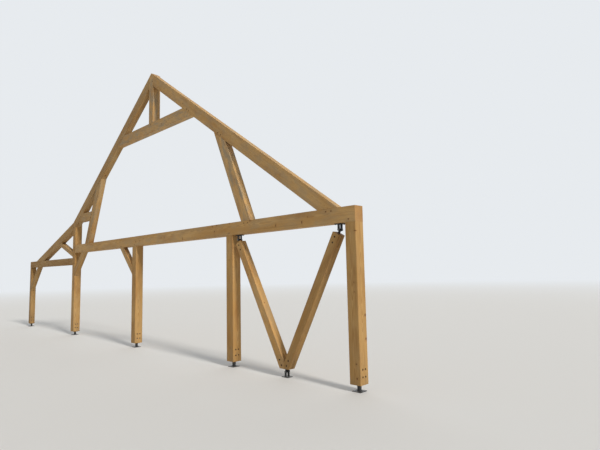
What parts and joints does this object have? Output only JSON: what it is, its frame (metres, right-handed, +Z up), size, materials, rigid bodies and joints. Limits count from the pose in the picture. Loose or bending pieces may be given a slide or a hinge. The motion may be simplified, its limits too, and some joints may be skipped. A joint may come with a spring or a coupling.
{
  "type": "wooden roof truss",
  "caption": "Pegged timber roof truss with king post, collar, raking struts and tie beam, standing on its own posts with a lower aisle bay and pinned V braces.",
  "frame": {"origin": "on the floor, halfway along the truss and halfway through its posts' thickness", "axes": "+X along the truss from the outer post towards the corner post, +Y through it from its flush face to its back, +Z up"},
  "size_m": [15.47, 0.216, 6.9596],
  "materials": {
    "softwood": "sawn, unpainted",
    "oak": "split, unpainted",
    "black_steel": "satin black",
    "pin_steel": "dull zinc"
  },
  "bodies": {
    "root": {"aisle_rafter": "softwood", "aisle_strut": "softwood", "aisle_tie": "softwood", "brace_dowels": "pin_steel", "brace_foot": "black_steel", "brace_foot_pin": "pin_steel", "brace_hanger_left": "black_steel", "brace_hanger_pin_left": "pin_steel", "brace_hanger_pin_right": "pin_steel", "brace_hanger_right": "black_steel", "collar_tie": "softwood", "king_post": "softwood", "knee_brace_fourth": "softwood", "knee_brace_outer": "softwood", "knee_brace_third": "softwood", "pegs_aisle_rafter": "oak", "pegs_aisle_tie": "oak", "pegs_collar_tie": "oak", "pegs_king_post": "oak", "pegs_post_fourth": "oak", "pegs_post_outer": "oak", "pegs_post_third": "oak", "pegs_rafter_left": "oak", "pegs_rafter_right": "oak", "pegs_strut_left": "oak", "pegs_tie_beam": "oak", "post_corner": "softwood", "post_fourth": "softwood", "post_outer": "softwood", "post_second": "softwood", "post_third": "softwood", "rafter_left": "softwood", "rafter_right": "softwood", "shoe_corner": "black_steel", "shoe_dowels": "pin_steel", "shoe_fourth": "black_steel", "shoe_outer": "black_steel", "shoe_second": "black_steel", "shoe_third": "black_steel", "short_tie": "softwood", "strut_left": "softwood", "strut_right": "softwood", "tie_beam": "softwood", "v_brace_left": "softwood", "v_brace_left_foot_tongue": "black_steel", "v_brace_left_head_tongue": "black_steel", "v_brace_right": "softwood", "v_brace_right_foot_tongue": "black_steel", "v_brace_right_head_tongue": "black_steel"}
  },
  "joints": []
}
